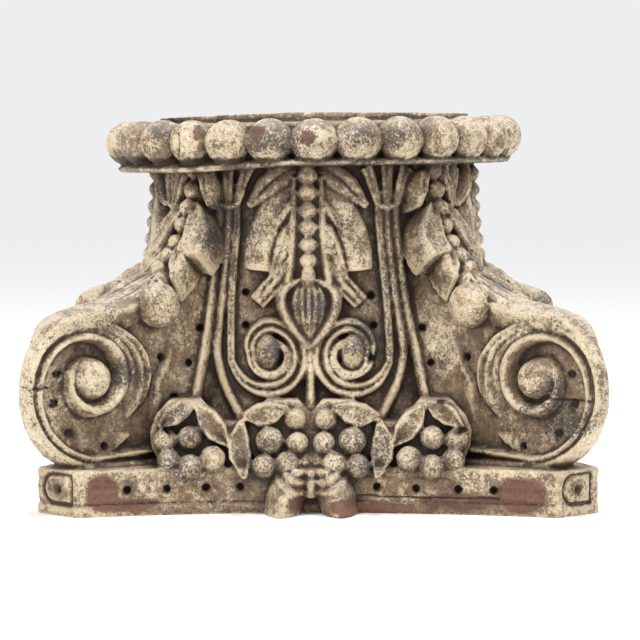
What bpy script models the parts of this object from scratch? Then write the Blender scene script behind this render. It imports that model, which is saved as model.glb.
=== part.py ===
"""A carved timber capital of the Corinthian kind, stood upside down on its abacus.

It is cut from one block: a square abacus with hollow sides and cut corners lies flat at the
bottom, a bell rises from it to a beaded ring, a scroll stands on each corner of the abacus, and
leaves, stems, small scrolls, grapes and strings of beads are carved over the bell.
Metres, +Z up, with the origin in the middle of the underside and one carved side facing -Y.
"""

import math

import bmesh
import bpy
import numpy as np
from mathutils import Matrix, Vector
from mathutils.bvhtree import BVHTree

# Abacus, the square slab that the capital stands on
ABACUS_SPAN = 0.4033
ABACUS_SHIFT = 0.0030
ABACUS_THICKNESS = 0.033
ABACUS_HOLLOW = 0.030
HORN_WIDTH = 0.045
FILLET_PROUD = 0.0025
LOWER_FILLET = 0.008
UPPER_FILLET = 0.005

# Bell
BELL_HEIGHT = 0.216
NECK_RADIUS = 0.112
LIP_RADIUS = 0.160
FLARE_POWER = 2.5

# Ring of beads round the neck, and the plain disc above it
RING_HEIGHT = 0.033
RING_RADIUS = 0.1425
BEAD_RADIUS = 0.0172
BEAD_COUNT = 28
RING_TILT_DEG = 1.0
DISC_RADIUS = 0.118
DISC_RISE = 0.005

# Corner scrolls, set on the diagonals
EYE_REACH = 0.2378
SCROLL_RADIUS = 0.0635
EYE_RADIUS = 0.017
FLANGE_HALF = 0.0042
FACE_SPLAY_DEG = 10.0
CHANNEL_DEPTH = 0.009

# The leaf that runs down each diagonal and lies over the scroll
LEAF_HALF_WIDTH = 0.017
NECK_STALK_HALF = 0.0135
CURL_RADIUS = 0.0152

# The relief on each side
RIB_HALF_WIDTH = 0.0034
SMALL_SCROLL_RADIUS = 0.030
GRAPE_RADIUS = 0.0084
PEARL_RADIUS = 0.0066

# How finely the block is cut
CUT_SIZE = 0.0021
SAW_MARGIN = 0.004
FACE_STEP = 0.0030
FACE_COLUMNS = 60
TRIANGLES = 9700

# The relief is drawn in millimetres on a bell of these sizes, and stretched to the real one
DRAWN_HEIGHT = 216.0
DRAWN_RADIUS = 160.0

BELL_TOP = ABACUS_THICKNESS + BELL_HEIGHT
RING_TOP = BELL_TOP + RING_HEIGHT
TOTAL_HEIGHT = RING_TOP + DISC_RISE
EYE_HEIGHT = ABACUS_THICKNESS + SCROLL_RADIUS
UP = BELL_HEIGHT / DRAWN_HEIGHT
ACROSS = LIP_RADIUS / DRAWN_RADIUS
SIDES = 4


# Small helpers


def collection(name):
    made = bpy.data.collections.new(name)
    bpy.context.scene.collection.children.link(made)
    return made


def smooth_path(points, steps):
    """Points along a Catmull-Rom curve through the given points, evenly spaced by parameter."""
    points = [np.array(p, float) for p in points]
    ends = [2 * points[0] - points[1], *points, 2 * points[-1] - points[-2]]
    made = []
    for t in np.linspace(0, len(points) - 1, steps):
        i = min(int(t), len(points) - 2)
        u = t - i
        a, b, c, d = ends[i : i + 4]
        made.append(
            0.5 * (2 * b + (c - a) * u + (2 * a - 5 * b + 4 * c - d) * u**2 + (3 * b - a - 3 * c + d) * u**3)
        )
    return made


def between(values, t):
    """The value at share t of the way along evenly spaced values."""
    return float(np.interp(t, np.linspace(0, 1, len(values)), values))


def loft(shape, rings):
    """Skins closed rings of points one after another, and caps both ends."""
    rows = [[shape.verts.new(p) for p in ring] for ring in rings]
    for below, above in zip(rows, rows[1:]):
        for i in range(len(below)):
            j = (i + 1) % len(below)
            shape.faces.new((below[i], below[j], above[j], above[i]))
    shape.faces.new(reversed(rows[0]))
    shape.faces.new(rows[-1])


def ball(shape, centre, radii, turn=None, segments=12):
    place = Matrix.Translation(centre) @ (turn or Matrix.Identity(4))
    place = place @ Matrix.Diagonal((*radii, 1))
    bmesh.ops.create_uvsphere(
        shape, u_segments=segments, v_segments=segments * 2 // 3, radius=1, matrix=place
    )


# Sections of a carved blade as (share of the half width, share of the height)
ROUND = [(-1, 0), (-0.9, 0.55), (-0.5, 0.92), (0, 1), (0.5, 0.92), (0.9, 0.55), (1, 0)]
HOLLOW = [(-1, 0.45), (-0.85, 0.9), (-0.6, 1), (0, 0.6), (0.6, 1), (0.85, 0.9), (1, 0.45)]
TWIN = [(-1, 0.3), (-0.85, 1), (-0.45, 1), (0, 0.35), (0.45, 1), (0.85, 1), (1, 0.3)]
VEINED = [(-1, 0.4), (-0.8, 0.95), (-0.55, 0.55), (-0.3, 0.95), (0, 0.6), (0.3, 0.95), (0.55, 0.55), (0.8, 0.95), (1, 0.4)]


def blade(shape, place, path, half_widths, rises, section, sink, steps=14):
    """A ridge or leaf along a path drawn on a surface; place(across, along, height) puts it there."""
    line = smooth_path(path, steps)
    rings = []
    for i, point in enumerate(line):
        t = i / (steps - 1)
        ahead = line[min(i + 1, steps - 1)] - line[max(i - 1, 0)]
        side = np.array((-ahead[1], ahead[0])) / max(np.hypot(*ahead), 1e-9)
        width, rise = between(half_widths, t), between(rises, t)
        top = [place(*(point + side * a * width), rise * up) for a, up in section]
        foot = [place(*(point + side * a * width * 0.8), -sink) for a in (0.9, -0.9)]
        rings.append(top + foot)
    loft(shape, rings)


# Base forms: abacus, bell, ring, scroll drums and corner webs


def abacus_outline(inset):
    """The abacus in plan: a hollow arc on each side and a straight cut at each corner."""
    reach = ABACUS_SPAN / 2 - inset
    chord = ABACUS_SPAN / 2 - HORN_WIDTH / math.sqrt(2)
    arc = (chord**2 + ABACUS_HOLLOW**2) / (2 * ABACUS_HOLLOW)
    half = math.asin(chord / arc)
    steps = 12
    side = []
    for i in range(steps + 1):
        angle = half * (2 * i / steps - 1)
        side.append((arc * math.sin(angle), -reach + arc * (math.cos(angle) - math.cos(half))))
    points = []
    for quarter in range(SIDES):
        turn = Matrix.Rotation(quarter * math.pi / 2, 2)
        points += [turn @ Vector(p) for p in side]
    return points


def abacus(shape):
    layers = (
        (0.0, LOWER_FILLET, 0.0),
        (LOWER_FILLET, ABACUS_THICKNESS - UPPER_FILLET, FILLET_PROUD),
        (ABACUS_THICKNESS - UPPER_FILLET, ABACUS_THICKNESS, 0.0),
    )
    overlap = CUT_SIZE / 2
    for low, high, inset in layers:
        low -= overlap if low else SAW_MARGIN
        outline = [(x + ABACUS_SHIFT, y) for x, y in abacus_outline(inset)]
        loft(shape, [[(*p, z) for p in outline] for z in (low, high)])


def bell_radius(z):
    down = min(max((BELL_TOP - z) / BELL_HEIGHT, 0), 1)
    return NECK_RADIUS + (LIP_RADIUS - NECK_RADIUS) * down**FLARE_POWER


def turned(shape, profile, tilt=0.0, steps=72):
    """A solid of revolution about the vertical axis, tilted about the Y axis at its own height."""
    height = profile[0][1]
    lean = Matrix.Translation((0, 0, height)) @ Matrix.Rotation(tilt, 4, "Y") @ Matrix.Translation((0, 0, -height))
    rings = []
    for radius, z in profile:
        ring = [
            lean @ Vector((radius * math.cos(a), radius * math.sin(a), z))
            for a in (2 * math.pi * i / steps for i in range(steps))
        ]
        rings.append(ring)
    loft(shape, rings)


def bell(shape):
    heights = [ABACUS_THICKNESS + BELL_HEIGHT * i / 16 for i in range(17)]
    foot = ABACUS_THICKNESS / 2
    profile = [(LIP_RADIUS, foot)] + [(bell_radius(z), z) for z in heights]
    profile += [(NECK_RADIUS, RING_TOP - DISC_RISE), (DISC_RADIUS, RING_TOP - DISC_RISE)]
    profile += [(DISC_RADIUS, TOTAL_HEIGHT + SAW_MARGIN)]
    turned(shape, profile)


def ring_of_beads(shape):
    tilt = -math.radians(RING_TILT_DEG)
    band = RING_RADIUS + BEAD_RADIUS / 3
    core = RING_RADIUS + BEAD_RADIUS / 2
    fillet = RING_HEIGHT / 6
    profile = [
        (NECK_RADIUS - fillet, BELL_TOP),
        (band, BELL_TOP),
        (band + fillet / 2, BELL_TOP + fillet / 2),
        (core - fillet, BELL_TOP + 2 * fillet),
        (core - fillet, RING_TOP - fillet),
        (band - fillet, RING_TOP - fillet / 4),
        (NECK_RADIUS - fillet, RING_TOP),
    ]
    turned(shape, profile, tilt)
    middle = (BELL_TOP + RING_TOP) / 2 + fillet / 4
    lean = Matrix.Rotation(tilt, 3, "Y")
    pitch = 2 * math.pi / BEAD_COUNT
    length = RING_RADIUS * math.sin(pitch / 2) * 1.12
    for i in range(BEAD_COUNT):
        angle = i * pitch - math.pi / 2
        out = Vector((math.cos(angle), math.sin(angle), 0)) * RING_RADIUS
        centre = lean @ out + Vector((0, 0, middle))
        turn = (lean @ Matrix.Rotation(angle, 3, "Z")).to_4x4()
        ball(shape, centre, (BEAD_RADIUS, length, BEAD_RADIUS * 0.96), turn)


def corner_point(reach, side, z):
    """A point by its reach along the front left diagonal, its offset to the front of it, and height."""
    across = 1 / math.sqrt(2)
    return Vector(((side - reach) * across, (-side - reach) * across, z))


# The scroll is drawn in millimetres round its eye. Turns are counted in quarters from straight
# down (0), outwards (1), up (2) and inwards (3).
FLANGE_TURN = (61.5, 48.5, 48, 46, 60)
RIM_TURN = (62.3, 48.5, 38.5)
TAIL_TURN = (41.5, 45, 51, 53)
COIL_TURN = (57.0, 40.5, 30, 24.3, 21.8, 17.3, 15)
COIL_HALF = (2.8, 3.2, 3.8, 6.0, 5.2, 2.0, 0.5)
COIL_PROUD = (0.4, 1.2, 2.4, 3.6, 4.4, 1.0, -6.0)
DRAWN_SCROLL = 63.5
SCROLL = SCROLL_RADIUS / DRAWN_SCROLL


def at_quarter(values, quarters):
    return float(np.interp(quarters, range(len(values)), values))


def flange_point(quarters, widen=0.0):
    angle = (quarters - 1) * math.pi / 2
    radius = at_quarter(FLANGE_TURN, quarters) * SCROLL + widen
    return EYE_REACH + radius * math.cos(angle), EYE_HEIGHT + radius * math.sin(angle)


def face_half(out):
    """Half the scroll's thickness at a distance outwards of its eye."""
    edge = FLANGE_HALF + (SCROLL_RADIUS - out) * math.tan(math.radians(FACE_SPLAY_DEG))
    return max(edge, FLANGE_HALF)


def mound(distance, half):
    """A rounded section: 1 in the middle and 0 at the half width."""
    return math.sqrt(max(1 - (distance / half) ** 2, 0))


def face_height(out, up):
    """Height of the carved scroll face over its plane, all in drawn millimetres round the eye."""
    radius = math.hypot(out, up)
    quarters = (math.atan2(up, out) / (math.pi / 2) + 1) % 4
    ground = -CHANNEL_DEPTH / SCROLL
    height = ground
    ridge = float(np.interp(up, (-45, -6, 16, 54, 110), (-54, -57, -71, -90, -100)))
    if up > -45:
        rise = min((up + 45) / 30, 1)
        if out < ridge:
            height = ground + 4.5 * rise
        else:
            height = ground + rise * float(np.interp(out - ridge, (0, 2.5, 9, 20), (4.5, 0, -4, 0)))
    rim_low, coil_low = -65.0, -57.5 - out / 15
    if out < 0 and up < -40:
        bottom = min(1, 1 + (out + 75) / 10) if out < -75 else 1
        height = max(height, ground + (-4 - ground) * bottom * (rim_low < up < coil_low))
        height = max(height, ground + (0 - ground) * bottom * mound(up - rim_low - 2, 3.0))
        height = max(height, ground + (0 - ground) * bottom * mound(up - coil_low, 2.8))
    elif quarters <= 2.0:
        rim = at_quarter(RIM_TURN, quarters)
        if at_quarter(COIL_TURN, quarters) < radius < rim:
            height = max(height, -4.0)
        height = max(height, ground + (0.8 - ground) * mound(radius - rim, 3.4))
    if 1.9 < quarters < 3.2:
        edge = at_quarter(TAIL_TURN, (quarters - 2) * 2.5)
        coil = at_quarter(COIL_TURN, quarters)
        if coil < radius < edge:
            share = (radius - coil) / (edge - coil)
            height = max(height, -1.0 + 1.0 * math.cos(5 * math.pi * share) - 3.5 * max(share - 0.8, 0) / 0.2)
    for lap in (0, 4):
        turn = quarters + lap
        if turn <= 5.9 and (lap or not (out < 0 and up < -40)):
            half = at_quarter(COIL_HALF, turn)
            top = at_quarter(COIL_PROUD, turn)
            height = max(height, ground + (top - ground) * mound(radius - at_quarter(COIL_TURN, turn), half))
    eye = EYE_RADIUS / SCROLL
    if radius < eye:
        height = max(height, ground + (8 - ground) * math.sqrt(1 - (radius / eye) ** 2.6))
    return height


def flange(shape):
    """The plain band in the middle of the front left scroll's edge."""
    steps = 48
    rings = []
    edge = FLANGE_HALF / 2
    for side, widen in ((-2, -edge), (-1, 0), (1, 0), (2, -edge)):
        half = side * edge
        turns = [4 * i / steps for i in range(steps)]
        rings.append([corner_point(out, half, z) for out, z in (flange_point(q, widen) for q in turns)])
    loft(shape, rings)


def face_edge(up):
    """How far outwards of its eye the carved face goes, at a height over the eye."""
    rim = -EYE_REACH
    for i in range(81):
        quarters = i / 40
        angle = (quarters - 1) * math.pi / 2
        reach = (at_quarter(RIM_TURN, quarters) + 2.8) * SCROLL
        if abs(reach * math.sin(angle) - up) < 1.2 * reach * math.pi / 160:
            rim = max(rim, reach * math.cos(angle))
    if up > 0:
        rim = max(rim, spine_reach(EYE_HEIGHT + up) - EYE_REACH - 0.004)
    return max(rim, -EYE_REACH / 2)


def corner_body(shape):
    """The corner from the bell to the scroll: a wedge whose two faces carry the coil."""
    low, high = ABACUS_THICKNESS - 0.004, BELL_TOP + RING_HEIGHT / 6
    rows = int((high - low) / FACE_STEP)
    root = NECK_RADIUS * 0.75 - EYE_REACH
    crown = EYE_HEIGHT + 42 * SCROLL
    for side in (-1, 1):
        rings = []
        for j in range(rows + 1):
            z = low + (high - low) * j / rows
            up = z - EYE_HEIGHT
            edge = face_edge(up)
            late = min(max((z - crown) / (BELL_TOP - crown), 0), 1) ** 0.6
            early = float(np.interp(up / SCROLL, (-11, 4, 29, 60, 84), (0, 0.2, 0.6, 0.95, 1)))
            count = FACE_COLUMNS
            ring = []
            for i in range(count + 1):
                out = root + (edge - root) * (i / count)
                carved = face_half(out) + face_height(out / SCROLL, up / SCROLL) * SCROLL
                taper = max(late, early * min(max((-48 - out / SCROLL) / 25, 0), 1))
                half = carved + (NECK_STALK_HALF - carved) * taper
                ring.append(corner_point(EYE_REACH + out, side * max(half, 0.004), z))
            ring.append(corner_point(EYE_REACH + edge, -side * 0.001, z))
            ring.append(corner_point(EYE_REACH + root, -side * 0.001, z))
            rings.append(ring)
        loft(shape, rings)


def spine_points():
    """The middle line of the corner leaf, as (reach, height), from the neck to the scroll's crown."""
    neck = NECK_RADIUS + 0.006
    crown = flange_point(2)[1]
    drop = BELL_TOP - crown
    reach = EYE_REACH - neck
    shares = (
        (0.0, 0.0), (0.06, 0.28), (0.15, 0.52), (0.26, 0.70), (0.40, 0.82), (0.60, 0.92), (0.80, 0.975), (1.0, 0.99),
    )
    line = [(neck + reach * a, BELL_TOP - drop * b) for a, b in shares]
    line += [flange_point(quarters, 0.002) for quarters in (1.65, 1.35)]
    return line


SPINE = smooth_path(spine_points(), 60)
SPINE_LENGTH = [0.0]
for before, after in zip(SPINE, SPINE[1:]):
    SPINE_LENGTH.append(SPINE_LENGTH[-1] + float(np.hypot(*(after - before))))


def spine_reach(z):
    """How far out the corner leaf's middle line is at a height above the scroll's crown."""
    falling = [p for p in SPINE if p[0] <= EYE_REACH]
    return float(np.interp(z, [p[1] for p in falling[::-1]], [p[0] for p in falling[::-1]]))


def on_spine(along):
    """The point and the outward normal of the corner leaf's middle line at a distance from the neck."""
    along = min(max(along, 0), SPINE_LENGTH[-1])
    i = min(int(np.searchsorted(SPINE_LENGTH, along, side="right")) - 1, len(SPINE) - 2)
    ahead = SPINE[i + 1] - SPINE[i]
    ahead = ahead / np.hypot(*ahead)
    point = SPINE[i] + ahead * (along - SPINE_LENGTH[i])
    return point, np.array((-ahead[1], ahead[0]))


def on_leaf(side, along, height):
    """A place on the corner leaf, which falls away on both sides of its middle line."""
    point, out = on_spine(along)
    fall = side**2 / (2 * 0.055)
    reach, z = point + out * (height - fall)
    return corner_point(reach, side, z)


# Relief on the corner leaf


def corner_leaf(shape):
    """The leaf is drawn in metres across and in shares of its length along the spine."""
    length = SPINE_LENGTH[-1]

    def lay(path, widths, rises, section, sink, steps=14):
        blade(shape, on_leaf, [(a, b * length) for a, b in path], widths, rises, section, sink, steps)

    lay([(0, 0), (0, 0.42)], (0.008, 0.009, 0.010), (0.003, 0.004, 0.005), ROUND, 0.012, 12)
    lay([(0, 0.42), (0, 0.7), (0, 0.985)], (0.012, 0.019, 0.021, 0.017, 0.010),
        (0.005, 0.006, 0.005, 0.003, 0.001), ROUND, 0.014, 18)
    half = LEAF_HALF_WIDTH
    lobes = (
        ([(half * 0.24, 0.012), (half * 0.76, 0.065), (half * 1.1, 0.155)], (0.003, 0.0065, 0.003), 0.009),
        ([(half * 0.3, 0.125), (half * 0.82, 0.20), (half * 1.15, 0.345)], (0.005, 0.0095, 0.009), 0.011),
        ([(half * 0.4, 0.29), (half * 0.82, 0.365), (half * 1.15, 0.45)], (0.005, 0.007, 0.003), 0.008),
    )
    for side in (-1, 1):
        for path, widths, rise in lobes:
            lay([(side * a, b) for a, b in path], widths, (rise * 0.6, rise, rise), HOLLOW, 0.018)
        curl = on_leaf(side * half * 1.3, length * 0.55, -0.002)
        ball(shape, curl, (CURL_RADIUS,) * 3, segments=18)
        lay([(side * 0.006, 0.44), (side * 0.012, 0.50), (side * 0.012, 0.60), (side * 0.008, 0.70)],
            (0.004, 0.0055, 0.003), (0.007, 0.008, 0.005), ROUND, 0.012)
    pearls = 7
    for i in range(pearls):
        along = length * (0.032 + 0.0665 * i)
        size = PEARL_RADIUS * (1 - 0.035 * i)
        ball(shape, on_leaf(0, along, 0.0042), (size, size, size * 1.1), segments=12)


# Relief on the side, laid on the base from the front


class Side:
    """The base as seen along +Y: it puts what is drawn across and up, in millimetres, on the base."""

    def __init__(self, base):
        self.tree = BVHTree.FromBMesh(base)

    def place(self, across, up, height):
        """across and up are in drawn millimetres; up is over the underside; height is in metres."""
        x = across * ACROSS
        z = ABACUS_THICKNESS + (up - 33) * UP
        z_hit = min(max(z, 0.001), TOTAL_HEIGHT)
        found, _, _, _ = self.tree.ray_cast(Vector((x, -1, z_hit)), Vector((0, 1, 0)))
        y = found.y if found else -NECK_RADIUS
        return Vector((x, y - height, z))


def spiral(centre, radii, start, quarters, steps):
    """Points of a scroll whose radius is given by quarter turns."""
    made = []
    for i in range(steps):
        t = i / (steps - 1)
        angle = start + quarters * t * math.pi / 2
        radius = between(radii, t)
        made.append((centre[0] + radius * math.cos(angle), centre[1] + radius * math.sin(angle)))
    return made


def stems(shape, side, place):
    """The three ribs beside the middle leaf: two end in grapes, and the third is the small scroll."""
    rib = RIB_HALF_WIDTH / ACROSS
    outer = [(64.6, 232), (65.5, 200), (71.5, 150), (77, 114), (84, 74)]
    middle = [(57.8, 232), (58.8, 200), (64.4, 150), (67.6, 114), (62, 88), (50, 64)]
    for path in (outer, middle):
        path = [(side * a, b) for a, b in path]
        blade(shape, place, path, (rib, rib, rib * 1.1, rib), (0.005, 0.007, 0.008, 0.008), ROUND, 0.006, 26)
    radius = SMALL_SCROLL_RADIUS / ACROSS
    turn = [radius * k for k in (0.92, 0.81, 0.76, 0.74, 0.43, 0.46, 0.46, 0.35)]
    centre = (30.5, 110)
    coil = spiral(centre, turn, 0.0, -7.0, 36)
    path = [(51.4, 226), (52.4, 200), (57.0, 150), *coil]
    path = [(side * a, b) for a, b in path]
    blade(shape, place, path, [rib * k for k in (0.8, 1.0, 1.8, 1.85, 1.6, 1.5, 1.0, 0.85, 0.8, 0.75, 0.65)],
          (0.006, 0.008, 0.011, 0.012, 0.012, 0.012, 0.011, 0.011, 0.011, 0.011, 0.011), TWIN, 0.006, 70)
    eye = place(side * centre[0], centre[1] + 2, 0.004)
    ball(shape, eye, (0.0097, 0.0115, 0.0135), segments=14)


def middle_leaf(shape, place):
    """The leaf that hangs from the ring in the middle of a side, with its pearls and its bud."""
    blade(shape, place, [(0, 246), (0, 200), (0, 150)], (8, 12, 14, 10), (0.003, 0.005, 0.006, 0.006), ROUND, 0.006, 16)
    lobes = (
        ([(9, 246), (24, 238), (43.5, 218)], (3, 8.4, 2.5), (0.005, 0.011, 0.010)),
        ([(9, 233), (27, 213), (36, 190), (38, 172)], (4, 9.5, 10, 9), (0.006, 0.012, 0.015, 0.016)),
        ([(8, 209), (17, 194), (27, 166)], (3.5, 5.8, 3), (0.009, 0.015, 0.012)),
        ([(9, 182), (23, 165), (38, 148)], (3.5, 7, 6.6), (0.008, 0.012, 0.010)),
    )
    for side in (-1, 1):
        for path, widths, rises in lobes:
            path = [(side * a, b) for a, b in path]
            blade(shape, place, path, widths, rises, HOLLOW, 0.006)
    blade(shape, place, [(0, 165), (0, 145), (0, 119)], (4, 17, 22, 19, 11, 2),
          (0.010, 0.018, 0.020, 0.018, 0.015, 0.009), VEINED, 0.004, 18)
    for i, up in enumerate((241, 229, 215.5, 202.5, 190, 178.5)):
        size = PEARL_RADIUS * (1 - 0.03 * i)
        ball(shape, place(0, up, 0.009), (size, size, size), segments=12)
    ball(shape, place(0, 166, 0.012), (0.0048, 0.006, 0.010), segments=12)
    blade(shape, place, [(0, 122), (0, 70), (0, 14)], (3.4, 3.4, 4.2), (0.011, 0.009, 0.013), ROUND, 0.004, 26)


# Each grape as (across, up, share of the usual size)
GRAPES_INNER = ((10.9, 66.4, 0.9), (29.7, 51.4, 1.12), (9.4, 49.8, 0.92), (33.5, 34, 0.97), (16.9, 35.5, 1.0))
GRAPES_OUTER = ((104.4, 52.1, 0.95), (87, 53.6, 0.97), (102, 38.5, 0.93), (86.3, 34, 0.97), (70.4, 39.3, 1.0))
VINE_LEAVES = (
    ([(49, 68.5), (33, 70.5), (16, 75.5)], (1.5, 8, 8, 1)),
    ([(49.5, 64), (51, 47), (48, 29)], (1.5, 7.4, 7.6, 1.5)),
    ([(83, 78.5), (95, 72), (109.5, 61.5)], (1.5, 6.8, 7, 1)),
    ([(82, 77), (70.5, 62.5), (59, 48)], (1.5, 8, 8, 1)),
)


def grapes(shape, side, place):
    """Two bunches of grapes on one half of a side, each under a pair of leaves."""
    for bunch in (GRAPES_INNER, GRAPES_OUTER):
        across = np.mean([a for a, b, k in bunch])
        front = place(side * across, 60, 0).y
        cushion = lambda a, b, height: Vector((a * ACROSS, min(place(a, b, 0).y, front) - height, place(a, b, 0).z))
        blade(shape, cushion, [(side * across, 77), (side * across, 52), (side * across, 27)],
              (9, 19, 22, 20, 12), (0.002, 0.002, 0.001), ROUND, 0.024, 10)
        for a, b, share in bunch:
            size = GRAPE_RADIUS * share
            spot = cushion(side * a, b, 0.003 + 0.0003 * (66 - b))
            ball(shape, spot, (size, size, size), segments=12)
    for path, widths in VINE_LEAVES:
        path = [(side * a, b) for a, b in path]
        blade(shape, place, path, widths, (0.008, 0.012, 0.012, 0.008), HOLLOW, 0.012)


def fleuron(shape, side, place):
    """One of the two leaf tips that hang over the hollow side of the abacus."""
    path = [(side * 7, 38), (side * 12, 26), (side * 18.5, 12), (side * 22, 0.5)]
    reach = ABACUS_HOLLOW
    blade(shape, place, path, (6, 10, 12.5, 10), (0.006, reach * 0.45, reach * 0.85, reach), HOLLOW, 0.006, 14)


# Putting it together


def turned_copies(shape):
    """Repeats what has been modelled on one side for the other three."""
    first = list(shape.verts) + list(shape.edges) + list(shape.faces)
    for quarter in range(1, SIDES):
        copy = bmesh.ops.duplicate(shape, geom=first)["geom"]
        verts = [v for v in copy if isinstance(v, bmesh.types.BMVert)]
        turn = Matrix.Rotation(quarter * math.pi / 2, 3, "Z")
        bmesh.ops.rotate(shape, cent=(0, 0, 0), matrix=turn, verts=verts)


def base_form():
    """The block before its relief: abacus and bell, and a scroll with its stalk at each corner."""
    shape = bmesh.new()
    corner_body(shape)
    flange(shape)
    turned_copies(shape)
    abacus(shape)
    bell(shape)
    return shape


def relief(base):
    """Everything that is laid on the block, for all four sides."""
    shape = bmesh.new()
    side_view = Side(base)
    corner_leaf(shape)
    middle_leaf(shape, side_view.place)
    for side in (-1, 1):
        stems(shape, side, side_view.place)
        grapes(shape, side, side_view.place)
        fleuron(shape, side, side_view.place)
    turned_copies(shape)
    ring_of_beads(shape)
    return shape


def timber():
    """Worn cream paint over red ground on carved timber."""
    material = bpy.data.materials.new("worn_cream_paint_on_timber")
    material.use_nodes = True
    shader = material.node_tree.nodes["Principled BSDF"]
    shader.inputs["Base Color"].default_value = (0.47, 0.36, 0.22, 1)
    shader.inputs["Roughness"].default_value = 0.72
    shader.inputs["Metallic"].default_value = 0.0
    return material


def evaluated_mesh(obj):
    bpy.context.view_layer.update()
    graph = bpy.context.evaluated_depsgraph_get()
    return bpy.data.meshes.new_from_object(obj.evaluated_get(graph), depsgraph=graph)


def cut_level(mesh, height, keep_above):
    """Saws the block off level at a height and leaves one flat face there."""
    shape = bmesh.new()
    shape.from_mesh(mesh)
    everything = list(shape.verts) + list(shape.edges) + list(shape.faces)
    cut = bmesh.ops.bisect_plane(
        shape, geom=everything, dist=1e-5, plane_co=(0, 0, height), plane_no=(0, 0, 1),
        clear_inner=keep_above, clear_outer=not keep_above,
    )
    rim = [e for e in cut["geom_cut"] if isinstance(e, bmesh.types.BMEdge)]
    bmesh.ops.holes_fill(shape, edges=rim, sides=0)
    bmesh.ops.triangulate(shape, faces=[f for f in shape.faces if len(f.verts) > 4])
    shape.to_mesh(mesh)
    shape.free()


def fuse(obj):
    """Makes one closed skin round all the overlapping shapes, saws it level, and lightens it."""
    skin = obj.modifiers.new("one_block", "REMESH")
    skin.mode = "VOXEL"
    skin.voxel_size = CUT_SIZE
    solid = evaluated_mesh(obj)
    obj.modifiers.clear()
    cut_level(solid, 0.0, True)
    cut_level(solid, TOTAL_HEIGHT, False)
    solid.calc_loop_triangles()
    obj.data = solid
    lighter = obj.modifiers.new("lighter", "DECIMATE")
    lighter.ratio = min(TRIANGLES / len(solid.loop_triangles), 1)
    light = evaluated_mesh(obj)
    obj.modifiers.clear()
    for vert in light.vertices:
        for level in (0.0, TOTAL_HEIGHT):
            if abs(vert.co.z - level) < CUT_SIZE / 4:
                vert.co.z = level
        vert.co.z = min(max(vert.co.z, 0.0), TOTAL_HEIGHT)
    spots = np.array([vert.co for vert in light.vertices])
    middle = (spots.min(axis=0) + spots.max(axis=0)) / 2
    light.transform(Matrix.Translation((-middle[0], -middle[1], 0)))
    obj.data = light


def capital():
    for old in list(bpy.data.objects):
        bpy.data.objects.remove(old)
    home = collection("corinthian_capital")
    base = base_form()
    carved = relief(base)
    mesh = bpy.data.meshes.new("carved_capital")
    carved.to_mesh(mesh)
    carved.free()
    whole = bmesh.new()
    whole.from_mesh(mesh)
    plain = bpy.data.meshes.new("plain_block")
    base.to_mesh(plain)
    base.free()
    whole.from_mesh(plain)
    whole.to_mesh(mesh)
    whole.free()
    bpy.data.meshes.remove(plain)
    obj = bpy.data.objects.new("carved_capital", mesh)
    home.objects.link(obj)
    fuse(obj)
    obj.data.name = "carved_capital"
    obj.data.materials.clear()
    obj.data.materials.append(timber())
    return obj


capital()
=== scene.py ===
"""A carved timber capital of the Corinthian kind, in worn cream paint, stood upside down on its abacus."""

import math

import bpy
import numpy as np
from mathutils import Matrix, Vector, noise
from mathutils.bvhtree import BVHTree
from mathutils.kdtree import KDTree


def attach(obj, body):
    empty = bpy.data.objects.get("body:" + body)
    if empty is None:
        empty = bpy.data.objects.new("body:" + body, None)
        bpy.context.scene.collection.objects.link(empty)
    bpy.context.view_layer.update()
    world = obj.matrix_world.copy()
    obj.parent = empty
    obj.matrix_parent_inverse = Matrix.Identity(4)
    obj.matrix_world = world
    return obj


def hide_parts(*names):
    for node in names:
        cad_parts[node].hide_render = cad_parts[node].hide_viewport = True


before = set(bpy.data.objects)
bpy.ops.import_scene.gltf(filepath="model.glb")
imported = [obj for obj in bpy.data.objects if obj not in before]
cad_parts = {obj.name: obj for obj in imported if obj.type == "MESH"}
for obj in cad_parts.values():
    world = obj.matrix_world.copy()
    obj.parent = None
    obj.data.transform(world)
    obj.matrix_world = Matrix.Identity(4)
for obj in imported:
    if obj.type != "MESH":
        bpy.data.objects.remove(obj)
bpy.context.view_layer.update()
bpy.ops.object.select_all(action="DESELECT")
bpy.context.view_layer.objects.active = None

# Sizes of the block, in metres
ABACUS_SPAN = 0.4033
ABACUS_SHIFT = 0.0030
ABACUS_THICKNESS = 0.033
ABACUS_HOLLOW = 0.030
HORN_WIDTH = 0.045
BELL_TOP = 0.249
DISC_FACE = 0.2832
NECK_RADIUS = 0.112
LIP_RADIUS = 0.160
RING_TOP = 0.282
RING_RADIUS = 0.1425
BEAD_RADIUS = 0.0172
BEAD_COUNT = 28
BEAD_MIDDLE = 0.26655
BAND_TOP = 0.253
RING_TILT = math.radians(-1.0)
DISC_RADIUS = 0.118
TOTAL_HEIGHT = 0.287
EYE_REACH = 0.2378
EYE_HEIGHT = 0.0965
FLANGE_HALF = 0.0042
FACE_SPLAY = math.tan(math.radians(10))
CHANNEL = 9.0
MM = 0.001
HOLE_RADIUS = 0.0032
HOLE_DEPTH = 0.0065

# The carver's middle line leans: how far it is off the middle, in millimetres, at four heights
MOTIF_HEIGHTS = (40, 110, 160, 245)
MOTIF_SHIFTS = (-2.2, -2.6, -4.0, -5.0)

# How finely the carving is kept
CARVING_STEP = 0.00125
TRIANGLES = 192_000


# Working in edit mode and with modifiers


def pick(obj):
    bpy.ops.object.select_all(action="DESELECT")
    obj.select_set(True)
    bpy.context.view_layer.objects.active = obj


def apply_modifier(obj, kind, **settings):
    pick(obj)
    modifier = obj.modifiers.new(kind.lower(), kind)
    for name, value in settings.items():
        setattr(modifier, name, value)
    bpy.ops.object.modifier_apply(modifier=modifier.name)


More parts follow.
